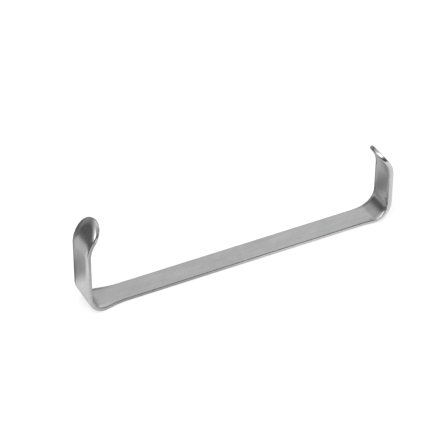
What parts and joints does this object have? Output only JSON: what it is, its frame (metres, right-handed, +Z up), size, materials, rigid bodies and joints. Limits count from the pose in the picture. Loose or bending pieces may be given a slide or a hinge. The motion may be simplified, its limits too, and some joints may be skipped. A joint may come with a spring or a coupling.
{
  "type": "handheld surgical retractor",
  "caption": "Handheld retractor: a flat steel strip whose ends widen and turn up into blades with rounded inturned lips, for holding tissue aside.",
  "frame": {"origin": "middle of the shank's flat underside, on which the strip rests", "axes": "+X along the shank towards the end with the shorter blade, +Y across the strip's width, +Z up, the way both blades stand"},
  "size_m": [0.15, 0.0156, 0.0436],
  "materials": {
    "steel": "satin, with rounded edges polished brighter"
  },
  "bodies": {
    "root": {"retractor_strip": "steel"}
  },
  "joints": []
}
